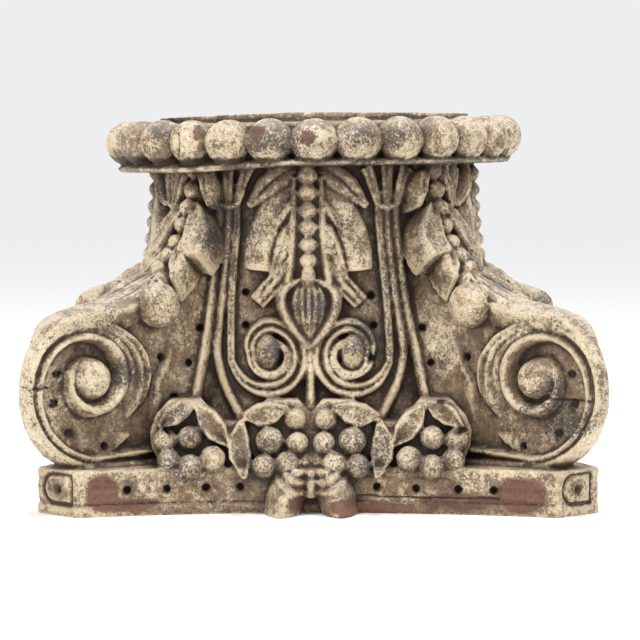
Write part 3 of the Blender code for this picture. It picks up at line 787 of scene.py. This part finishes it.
def cracks(points, normals, tree):
    for quarter, places in CRACKS:
        turn = Matrix.Rotation(quarter * math.pi / 2, 3, "Z")
        line = []
        for x, z in smooth_path(places, 9):
            start = turn @ Vector((x * MM, -0.5, z * MM))
            found, _, _, _ = tree.ray_cast(start, turn @ Vector((0, 1, 0)))
            if found:
                line.append(found + 0.5 * MM * noise.random_vector())
        if len(line) > 1:
            groove(points, normals, line, 0.0016, 0.0012)


def worn_by_hand(points, normals, sunk):
    """The wobble of the knife over everything, and the disc's worn side."""
    wobble = np.array([noise.noise(Vector(p) * 95) + 0.6 * noise.noise(Vector(p) * 230) for p in points])
    points += normals * (0.00042 * wobble * (1 - sunk))[:, None]
    gone = np.interp(points[:, 0], (-0.115, -0.07, -0.015), (0.0040, 0.0022, 0.0)) * (points[:, 2] > DISC_FACE)
    points[:, 2] -= gone * np.clip((points[:, 2] - DISC_FACE) / 0.0030, 0, 1)


def hole_spots(tree):
    """Where the holes are: on the front of each side, along the abacus, and round each scroll."""
    spots = []

    def shoot(origin, direction, limit=0.5):
        found, _, _, _ = tree.ray_cast(Vector(origin), Vector(direction), limit)
        if found:
            spots.append((found, Vector(direction)))

    for quarter in range(4):
        turn = Matrix.Rotation(quarter * math.pi / 2, 3, "Z")
        ahead = turn @ Vector((0, 1, 0))
        for x, z in HOLES_FRONT + HOLES_BAND:
            shoot(turn @ Vector((x * MM, -0.5, z * MM)), ahead)
        for side in (-1, 1):
            normal = Vector((side * math.sin(math.radians(35)), math.cos(math.radians(35)), 0))
            for out, up in ((-47, -37.5), (-13, -49), (16.5, -38), (30.5, -16), (27.5, 5), (-62, 13)):
                place = corner_point(EYE_REACH + out * MM, face_half(out * MM), EYE_HEIGHT + up * MM)
                place.x *= -side
                shoot(turn @ (place - normal * 0.03), turn @ normal, 0.05)
            corner = Vector((side * 0.183 + ABACUS_SHIFT, -0.183, 0.0185))
            out = Vector((side, -1, 0)).normalized()
            shoot(turn @ (corner + out * 0.2), turn @ -out)
    return spots


def smoothed(values, edges, count, times):
    """The values averaged with their neighbours' a number of times."""
    sides = np.concatenate((edges[:, 0], edges[:, 1]))
    others = np.concatenate((edges[:, 1], edges[:, 0]))
    share = np.maximum(np.bincount(sides, minlength=count), 1)
    for _ in range(times):
        if values.ndim == 1:
            values = 0.5 * values + 0.5 * np.bincount(sides, weights=values[others], minlength=count) / share
        else:
            columns = [np.bincount(sides, weights=values[others, k], minlength=count) / share for k in range(3)]
            values = 0.5 * values + 0.5 * np.stack(columns, axis=1)
    return values


def openness(tree, points, normals, rays, reach):
    """The share of short rays from each vertex that get away from the carving."""
    spread = []
    for i in range(rays):
        up = 1 - (i + 0.5) / rays * 0.92
        angle = i * 2.399963
        flat = math.sqrt(1 - up * up)
        spread.append(Vector((flat * math.cos(angle), flat * math.sin(angle), up)))
    open_to = np.zeros(len(points))
    for i, (point, normal) in enumerate(zip(points, normals)):
        normal = Vector(normal)
        turn = normal.to_track_quat("Z", "Y").to_matrix()
        start = Vector(point) + normal * 0.0006
        free = 0
        for ray in spread:
            if tree.ray_cast(start, turn @ ray, reach)[0] is None:
                free += 1
        open_to[i] = free / rays
    return open_to


# Where bare wood or dark flakes show on the front, as (x, z, size across, size up, strength), in millimetres
BARE = (
    (-150, 18, 11, 12, 1.0), (-133, 8, 24, 5, 0.85), (147, 15, 17, 12, 1.0),
    (105, 9, 34, 7, 0.75), (22, 6, 12, 8, 0.8),
    (-12, 8, 10, 7, 0.6), (139, 266, 6, 7, 0.6), (-80, 3, 70, 4, 0.55), (60, 3, 90, 5, 0.62), (-42, 273, 7, 5, 0.8),
    (-4, 268, 6, 6, 0.8), (-84, 272, 5, 6, 0.7), (88, 22, 20, 6, 0.5), (-88, 53, 4, 4, 0.6), (31, 50, 4, 4, 0.6),
)
DARK = (
    (-31, 112, 8, 12, 1.0), (-113, 272, 7, 9, 0.9), (-38, 268, 9, 10, 0.9),
    (-22, 214, 9, 6, 0.7), (58, 270, 7, 9, 0.9),
    (20, 206, 10, 8, 0.8), (-3, 140, 15, 15, 0.9), (45, 160, 7, 18, 0.4), (-146, 146, 9, 5, 0.5), (30, 117, 9, 8, 0.6),
    (31, 271, 11, 9, 1.0), (66, 273, 9, 7, 0.9), (-42, 264, 7, 7, 0.9), (-4, 266, 11, 9, 0.6), (-30, 46, 30, 22, 0.6),
    (30, 46, 30, 22, 0.7), (-90, 44, 26, 18, 0.6), (90, 44, 26, 18, 0.6),
    (-61, 180, 9, 60, 0.5), (58, 180, 9, 60, 0.5),
)


def edge_pairs(mesh):
    edges = np.empty(len(mesh.edges) * 2, dtype=np.int32)
    mesh.edges.foreach_get("vertices", edges)
    return edges.reshape(-1, 2)


def standing(points, normals, edges):
    """How far each vertex stands out of its surroundings, near, further and far, in millimetres."""
    heights = []
    flat = points
    for times in (6, 24, 110):
        flat = smoothed(flat, edges, len(points), times)
        heights.append(((points - flat) * normals).sum(axis=1) / MM)
    return np.stack(heights, axis=1)


def carried_over(points, old_points, values):
    """The values at the nearest of the old points."""
    near = KDTree(len(old_points))
    for i, point in enumerate(old_points):
        near.insert(point, i)
    near.balance()
    return values[[near.find(point)[1] for point in points]]


AIR_REACH = 0.035


def masks(obj, spots, fine_points, fine_heights):
    """Lays down, per vertex, how proud, sharp, open, drilled, bare or dark it is, for the paint, with painted shade
    under the ring.
    """
    mesh = obj.data
    points, normals = arrays(mesh)
    count = len(points)
    edges = edge_pairs(mesh)
    small, medium, large = carried_over(points, fine_points, fine_heights).T
    tree = BVHTree.FromObject(obj, bpy.context.evaluated_depsgraph_get())
    rays = 14
    open_to = smoothed(openness(tree, points, normals, rays, AIR_REACH), edges, count, 2)
    drilled = np.zeros(count)
    for spot, direction in spots:
        offset = points - np.array(spot)
        along = offset @ np.array(direction)
        across = np.linalg.norm(offset - np.outer(along, np.array(direction)), axis=1)
        inside = (along > -0.004) & (along < 0.012)
        drilled = np.maximum(drilled, np.clip((HOLE_RADIUS + 0.0006 - across) / 0.0012, 0, 1) * inside)
    bare, dark = np.zeros(count), np.zeros(count)
    ahead = points[:, 1] < -0.05
    for table, mask in ((BARE, bare), (DARK, dark)):
        for x, z, wide, tall, strength in table:
            away = np.hypot((points[:, 0] / MM - x) / wide, (points[:, 2] / MM - z) / tall)
            np.maximum(mask, strength * np.clip(1.6 - away, 0, 1) * ahead, out=mask)
    heights = points[:, 2]
    under_ring = (abs(heights - 0.250) < 0.0045) & (np.hypot(points[:, 0], points[:, 1]) > 0.130)
    # Painted shade under the ring and round the neck, by lowering the proud and edge values there; and less paint is
    # left on the abacus
    under_ring_shade = np.where(under_ring, 0.4, np.interp(heights, (0.190, 0.246, 0.252, 0.256), (1, 0.72, 0.72, 1)))
    under_ring_shade_abacus_wear = np.where(heights < ABACUS_THICKNESS + 0.0005, 0.5, under_ring_shade)
    patch = np.array([noise.noise(Vector(p) * 21 + Vector((3, 7, 1))) for p in points])
    behind = points[:, 1] > -0.03
    bare = np.maximum(bare, np.clip((patch - 0.40) * 5, 0, 0.8) * behind)
    dark = np.maximum(dark, np.clip((-patch - 0.34) * 5, 0, 0.8))
    for name, values in (
        ("proud", np.clip(0.5 + 0.07 * large + 0.40 * small, 0, 1) * under_ring_shade_abacus_wear),
        ("edge", np.clip(0.5 + 0.16 * medium + 0.60 * small, 0, 1) * under_ring_shade),
        ("open_to_air", open_to),
        ("drilled", drilled),
        ("bare", bare),
        ("dark", dark),
    ):
        mesh.attributes.new(name, "FLOAT", "POINT").data.foreach_set("value", values.astype(np.float32))


def main():
    obj = carve()
    mesh = obj.data
    saw_level(obj, 0.0, True)
    saw_level(obj, TOTAL_HEIGHT, False)
    points, normals = arrays(mesh)
    tree = BVHTree.FromObject(obj, bpy.context.evaluated_depsgraph_get())
    cracks(points, normals, tree)
    corner_panels(points, normals)
    fine_heights = standing(points, normals, edge_pairs(mesh))
    spots = hole_spots(tree)
    worn_by_hand(points, normals, drill(points, spots))
    points[:, 2] = np.clip(points[:, 2], 0.0, TOTAL_HEIGHT)
    mesh.vertices.foreach_set("co", points.ravel())
    mesh.update()
    mesh.calc_loop_triangles()
    apply_modifier(obj, "DECIMATE", ratio=min(TRIANGLES / len(mesh.loop_triangles), 1))
    pick(obj)
    bpy.ops.object.shade_smooth()
    masks(obj, spots, points, fine_heights)
    return obj


capital = main()
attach(capital, "root")
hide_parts("carved_capital")


class Paint:
    """Builds the material's nodes a line at a time."""

    def __init__(self, name):
        self.material = bpy.data.materials.new(name)
        self.material.use_nodes = True
        self.nodes = self.material.node_tree.nodes
        self.links = self.material.node_tree.links
        self.shader = self.nodes["Principled BSDF"]
        self.where = self.nodes.new("ShaderNodeTexCoord").outputs["Object"]

    def put(self, socket, value):
        if isinstance(value, bpy.types.NodeSocket):
            self.links.new(value, socket)
        else:
            socket.default_value = value

    def math(self, operation, a, b=0.0, clamp=False):
        node = self.nodes.new("ShaderNodeMath")
        node.operation = operation
        node.use_clamp = clamp
        self.put(node.inputs[0], a)
        self.put(node.inputs[1], b)
        return node.outputs[0]

    def add(self, *terms):
        total = terms[0]
        for term in terms[1:]:
            total = self.math("ADD", total, term)
        return total

    def times(self, a, b):
        return self.math("MULTIPLY", a, b)

    def step(self, value, low, high, to_low=0.0, to_high=1.0):
        node = self.nodes.new("ShaderNodeMapRange")
        node.interpolation_type = "SMOOTHSTEP"
        for i, item in enumerate((value, low, high, to_low, to_high)):
            self.put(node.inputs[i], item)
        return node.outputs[0]

    def noise(self, scale, detail=6.0, rough=0.6, squash=(1, 1, 1), shift=(0, 0, 0)):
        """Noise about zero, from about -0.5 to 0.5."""
        place = self.nodes.new("ShaderNodeMapping")
        self.put(place.inputs["Vector"], self.where)
        place.inputs["Scale"].default_value = squash
        place.inputs["Location"].default_value = shift
        node = self.nodes.new("ShaderNodeTexNoise")
        self.put(node.inputs["Vector"], place.outputs[0])
        node.inputs["Scale"].default_value = scale
        node.inputs["Detail"].default_value = detail
        node.inputs["Roughness"].default_value = rough
        return self.math("SUBTRACT", node.outputs["Fac"], 0.5)

    def cells(self, scale):
        """How far it is to the nearest crack between cells."""
        node = self.nodes.new("ShaderNodeTexVoronoi")
        node.feature = "DISTANCE_TO_EDGE"
        self.put(node.inputs["Vector"], self.where)
        node.inputs["Scale"].default_value = scale
        return node.outputs["Distance"]

    def mask(self, name):
        node = self.nodes.new("ShaderNodeAttribute")
        node.attribute_name = name
        return node.outputs["Fac"]

    def mix(self, share, a, b, blend="MIX"):
        node = self.nodes.new("ShaderNodeMix")
        node.data_type = "RGBA"
        node.blend_type = blend
        self.put(node.inputs[0], share)
        self.put(node.inputs[6], a)
        self.put(node.inputs[7], b)
        return node.outputs[2]

    def upward(self):
        node = self.nodes.new("ShaderNodeNewGeometry")
        parts = self.nodes.new("ShaderNodeSeparateXYZ")
        self.put(parts.inputs[0], node.outputs["Normal"])
        return parts.outputs["Z"]


CREAM = (0.56, 0.43, 0.27, 1)
PALE_CREAM = (0.86, 0.74, 0.53, 1)
# Burnished cream, also a painted highlight along the ridges
BURNISHED_HIGHLIGHT = (0.76, 0.61, 0.40, 1)
YELLOW = (0.40, 0.25, 0.08, 1)
OCHRE = (0.33, 0.235, 0.150, 1)
BROWN = (0.135, 0.075, 0.038, 1)
# Dark umber for grime, and for painted shade in hollows and creases
UMBER_DIRT_AND_SHADE = (0.022, 0.011, 0.006, 1)
STAIN = (0.135, 0.090, 0.060, 1)
RED_WOOD = (0.115, 0.052, 0.036, 1)
RED_PALE = (0.25, 0.105, 0.062, 1)
SLATE = (0.050, 0.047, 0.052, 1)
# Pale rubbed grey, also a painted sheen on what faces up
RUBBED_AND_SHEEN = (0.42, 0.36, 0.32, 1)
HOLE_BLACK = (0.012, 0.007, 0.004, 1)


def worn_paint():
    """Cream paint, crackled and rubbed off to ochre grime, slate flakes and red timber, with painted shade in hollows
    and creases and a painted highlight and sheen on ridges and upward faces.
    """
    p = Paint("worn_paint")
    broad, patch = p.noise(17, 5), p.noise(75, 8, 0.68)
    flake = p.noise(320, 8, 0.72, shift=(1, 2, 3))
    speck = p.noise(900, 5, 0.65)
    proud, free, edge = p.mask("proud"), p.mask("open_to_air"), p.mask("edge")
    # Paint stays on what is proud and open, in ragged flakes
    keeps = p.add(
        p.times(p.math("SUBTRACT", proud, 0.45), 0.45), p.times(p.math("SUBTRACT", free, 0.66), 0.55),
        p.times(broad, 1.0), p.times(patch, 1.7), p.times(flake, 1.7), p.times(speck, 1.1),
    )
    thick = p.step(keeps, 0.04, 0.12)
    thin = p.step(keeps, -0.40, 0.20)
    grime_and_shade = p.mix(p.step(p.add(patch, p.times(flake, 1.1), p.times(speck, 0.8)), -0.25, 0.25), BROWN, OCHRE)
    # Painted shade: the grime goes to dark umber where the carving is less open to the air
    grime_and_shade = p.mix(p.step(p.add(free, p.times(flake, 0.6)), 0.0, 0.5), UMBER_DIRT_AND_SHADE, grime_and_shade)
    cream = p.mix(p.step(p.add(keeps, p.times(speck, 0.8)), 0.08, 0.50), CREAM, PALE_CREAM)
    yellow = p.times(p.step(p.noise(24, 3, shift=(5, 1, 9)), 0.07, 0.2), 0.45)
    cream = p.mix(yellow, cream, YELLOW)
    colour = p.mix(p.times(thin, 0.30), grime_and_shade, cream)
    colour = p.mix(p.times(thick, 0.92), colour, cream)
    # Brown stain soaked into the paint
    soak = p.add(p.times(p.noise(52, 7, 0.7, shift=(4, 4, 7)), 1.6), p.times(flake, 0.9), p.times(speck, 0.7))
    stain = p.step(p.add(soak, p.times(free, -0.3)), -0.20, 0.12)
    colour = p.mix(p.times(stain, 0.66), colour, STAIN)
    # Pale paint burnished along the edges, and a painted highlight along the ridges
    burnish_and_highlight = p.add(edge, p.times(flake, 0.8), p.times(patch, 0.5), p.times(speck, 0.4))
    colour = p.mix(p.times(p.step(burnish_and_highlight, 0.60, 0.78), 0.75), colour, BURNISHED_HIGHLIGHT)
    # Slate flakes under the paint, in patches and as specks on the fronts
    slate_field = p.add(p.times(p.mask("dark"), 0.30), p.times(p.noise(40, 4, shift=(2, 8, 4)), 0.7))
    fleck = p.noise(520, 6, 0.75, shift=(7, 3, 5))
    slate = p.step(p.add(slate_field, p.times(flake, 1.0), p.times(fleck, 1.7)), 0.20, 0.27)
    colour = p.mix(p.times(slate, 0.9), colour, SLATE)
    # A painted sheen, paler on what faces up and is open to the air, where the top light falls; and pale rubbed clouds
    painted_sheen = p.times(p.step(p.upward(), 0.1, 0.9), p.step(p.add(free, p.times(patch, 0.7)), 0.5, 0.95))
    cloud = p.times(p.step(p.add(p.noise(30, 6, 0.6, shift=(1, 7, 2)), p.times(flake, 0.8)), 0.04, 0.2), 0.6)
    colour = p.mix(p.times(p.math("MAXIMUM", painted_sheen, cloud), 0.38), colour, RUBBED_AND_SHEEN)
    # Bare red timber, with its grain
    grain = p.noise(60, 6, 0.6, squash=(0.25, 0.25, 3.0))
    red = p.mix(p.step(grain, -0.2, 0.25), RED_WOOD, RED_PALE)
    red = p.mix(p.times(stain, 0.45), red, BROWN)
    bare = p.step(p.add(p.mask("bare"), p.times(patch, 1.6), p.times(flake, 1.1), p.times(speck, 0.5)), 0.50, 0.60)
    colour = p.mix(p.times(bare, 0.95), colour, red)
    small_bare = p.step(p.add(p.noise(130, 5, 0.6, shift=(9, 4, 2)), p.times(broad, 0.4)), 0.2, 0.25)
    colour = p.mix(p.times(small_bare, 0.7), colour, RED_WOOD)
    # Dirt in cracks of the paint
    crack = p.math("SUBTRACT", 1.0, p.step(p.add(p.cells(260), p.times(flake, 0.12)), 0.004, 0.035))
    colour = p.mix(p.times(p.times(crack, thick), 0.55), colour, BROWN)
    # Painted shade with dirt: dark umber in the hollows, where the carving is least open to the air
    hollow_shade_and_dirt = p.math("SUBTRACT", 1.0, p.step(p.add(free, p.times(patch, 0.5), p.times(flake, 0.25)), 0.05, 0.42))
    colour = p.mix(p.times(hollow_shade_and_dirt, 0.85), colour, UMBER_DIRT_AND_SHADE)
    # Painted shade: dark umber along the creases, where the carving curves inwards
    crease_shade = p.math("SUBTRACT", 1.0, p.step(p.add(edge, p.times(flake, 0.4)), 0.18, 0.45))
    colour = p.mix(p.times(crease_shade, 0.85), colour, UMBER_DIRT_AND_SHADE)
    # The drilled holes are coloured near-black
    colour = p.mix(p.mask("drilled"), colour, HOLE_BLACK)
    p.put(p.shader.inputs["Base Color"], colour)
    rough = p.add(0.60, p.times(thick, -0.10), p.times(slate, -0.14), p.times(patch, 0.25), p.times(hollow_shade_and_dirt, 0.2))
    p.put(p.shader.inputs["Roughness"], rough)
    p.shader.inputs["Specular IOR Level"].default_value = 0.45
    level = p.add(thick, p.times(slate, -0.6), p.times(bare, -1.2), p.times(crack, -0.5), p.times(flake, 1.2))
    bump = p.nodes.new("ShaderNodeBump")
    bump.inputs["Strength"].default_value = 0.75
    bump.inputs["Distance"].default_value = 0.00035
    p.put(bump.inputs["Height"], level)
    p.put(p.shader.inputs["Normal"], bump.outputs[0])
    return p.material


capital.data.materials.append(worn_paint())


# Floor, light and camera

# The camera, fitted to the photo: its focal length, the row of its own level and the column of the middle
PICTURE_PIXELS = 640
FOCAL_PIXELS = 2942
LEVEL_PIXEL = 137
MIDDLE_PIXEL = 314


def studio():
    bpy.ops.mesh.primitive_plane_add(size=12, location=(0, 0, 0))
    floor = bpy.context.object
    floor.name = "floor"
    paint = bpy.data.materials.new("pale_floor")
    paint.use_nodes = True
    shader = paint.node_tree.nodes["Principled BSDF"]
    shader.inputs["Base Color"].default_value = (0.97, 0.97, 0.97, 1)
    shader.inputs["Roughness"].default_value = 0.9
    floor.data.materials.append(paint)
    world = bpy.data.worlds.new("soft_white")
    world.use_nodes = True
    background = world.node_tree.nodes["Background"]
    background.inputs["Color"].default_value = (0.98, 0.985, 1.0, 1)
    background.inputs["Strength"].default_value = 0.87
    bpy.context.scene.world = world
    for name, place, size, power, colour in (
        ("key_light", (-0.8, -1.2, 2.3), 0.9, 20, (1.0, 0.98, 0.95)),
        ("top_light", (0.2, -0.3, 2.2), 0.9, 26, (0.95, 0.98, 1.0)),
    ):
        lamp = bpy.data.lights.new(name, "AREA")
        lamp.shape = "DISK"
        lamp.size = size
        lamp.energy = power
        lamp.color = colour
        light = bpy.data.objects.new(name, lamp)
        light.location = place
        light.rotation_euler = (Vector((0, 0, 0.15)) - Vector(place)).to_track_quat("-Z", "Y").to_euler()
        bpy.context.scene.collection.objects.link(light)
    lens = bpy.data.cameras.new("camera")
    lens.sensor_width = 36
    lens.lens = FOCAL_PIXELS / PICTURE_PIXELS * 36
    camera = bpy.data.objects.new("camera", lens)
    camera.location = (0, -2.268, 0.269)
    pitch = math.atan((PICTURE_PIXELS / 2 - LEVEL_PIXEL) / FOCAL_PIXELS)
    camera.rotation_euler = (math.pi / 2 - pitch, 0, 0)
    lens.shift_x = (PICTURE_PIXELS / 2 - MIDDLE_PIXEL) / PICTURE_PIXELS
    bpy.context.scene.collection.objects.link(camera)
    bpy.context.scene.camera = camera
    bpy.context.scene.view_settings.view_transform = "Standard"


studio()
